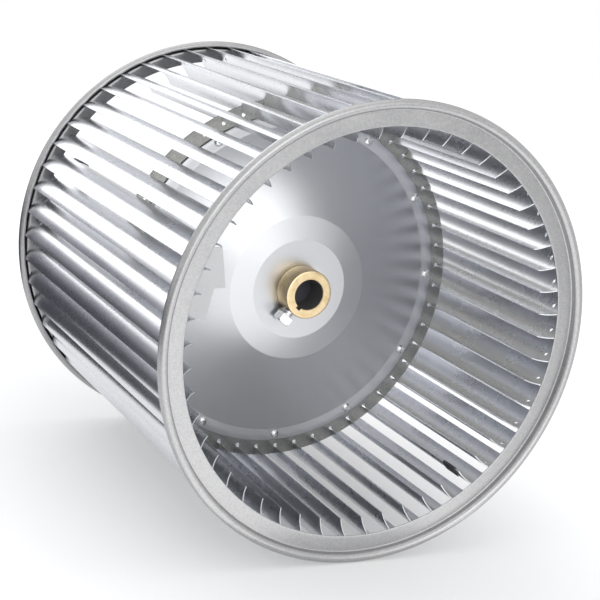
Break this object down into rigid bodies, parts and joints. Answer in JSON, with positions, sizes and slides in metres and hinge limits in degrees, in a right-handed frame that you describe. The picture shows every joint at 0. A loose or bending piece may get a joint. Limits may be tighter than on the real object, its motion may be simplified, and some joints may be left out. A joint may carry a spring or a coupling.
{
  "type": "blower wheel",
  "caption": "Double-inlet centrifugal blower wheel: forward-curved sheet blades between rolled-edge end rings, riveted to a dished centre disc with a keyed brass hub.",
  "frame": {"origin": "on the wheel's axis, level with the rear ring's rolled edge, on which it stands", "axes": "+Z along the shaft, from the rear inlet to the front inlet, where the set screw is; +X at right angles to it, from which the angles of blades and keyway are counted"},
  "size_m": [0.27, 0.27, 0.2635],
  "materials": {
    "galvanised_ring": "galvanised sheet, fine spangle",
    "galvanised_blade": "galvanised strip, satin",
    "plated_disc": "galvanised sheet, smooth satin",
    "brass_hub": "turned",
    "plated_screw": "bright zinc plate",
    "plated_rivet": "bright",
    "spring_clip": "blackened spring steel"
  },
  "bodies": {
    "root": {"front_ring": "galvanised_ring", "rear_ring": "galvanised_ring", "centre_ring": "galvanised_ring", "hub_disc": "plated_disc", "hub": "brass_hub", "set_screw": "plated_screw", "rivets": "plated_rivet", "balance_clip_front": "spring_clip", "balance_clip_rear": "spring_clip", "blade_01": "galvanised_blade", "blade_02": "galvanised_blade", "blade_03": "galvanised_blade", "blade_04": "galvanised_blade", "blade_05": "galvanised_blade", "blade_06": "galvanised_blade", "blade_07": "galvanised_blade", "blade_08": "galvanised_blade", "blade_09": "galvanised_blade", "blade_10": "galvanised_blade", "blade_11": "galvanised_blade", "blade_12": "galvanised_blade", "blade_13": "galvanised_blade", "blade_14": "galvanised_blade", "blade_15": "galvanised_blade", "blade_16": "galvanised_blade", "blade_17": "galvanised_blade", "blade_18": "galvanised_blade", "blade_19": "galvanised_blade", "blade_20": "galvanised_blade", "blade_21": "galvanised_blade", "blade_22": "galvanised_blade", "blade_23": "galvanised_blade", "blade_24": "galvanised_blade", "blade_25": "galvanised_blade", "blade_26": "galvanised_blade", "blade_27": "galvanised_blade", "blade_28": "galvanised_blade", "blade_29": "galvanised_blade", "blade_30": "galvanised_blade", "blade_31": "galvanised_blade", "blade_32": "galvanised_blade", "blade_33": "galvanised_blade", "blade_34": "galvanised_blade", "blade_35": "galvanised_blade", "blade_36": "galvanised_blade", "blade_37": "galvanised_blade", "blade_38": "galvanised_blade", "blade_39": "galvanised_blade", "blade_40": "galvanised_blade", "blade_41": "galvanised_blade", "blade_42": "galvanised_blade", "blade_43": "galvanised_blade", "blade_44": "galvanised_blade", "blade_45": "galvanised_blade", "blade_46": "galvanised_blade", "blade_47": "galvanised_blade", "blade_48": "galvanised_blade", "blade_49": "galvanised_blade", "blade_50": "galvanised_blade", "blade_51": "galvanised_blade"}
  },
  "joints": []
}
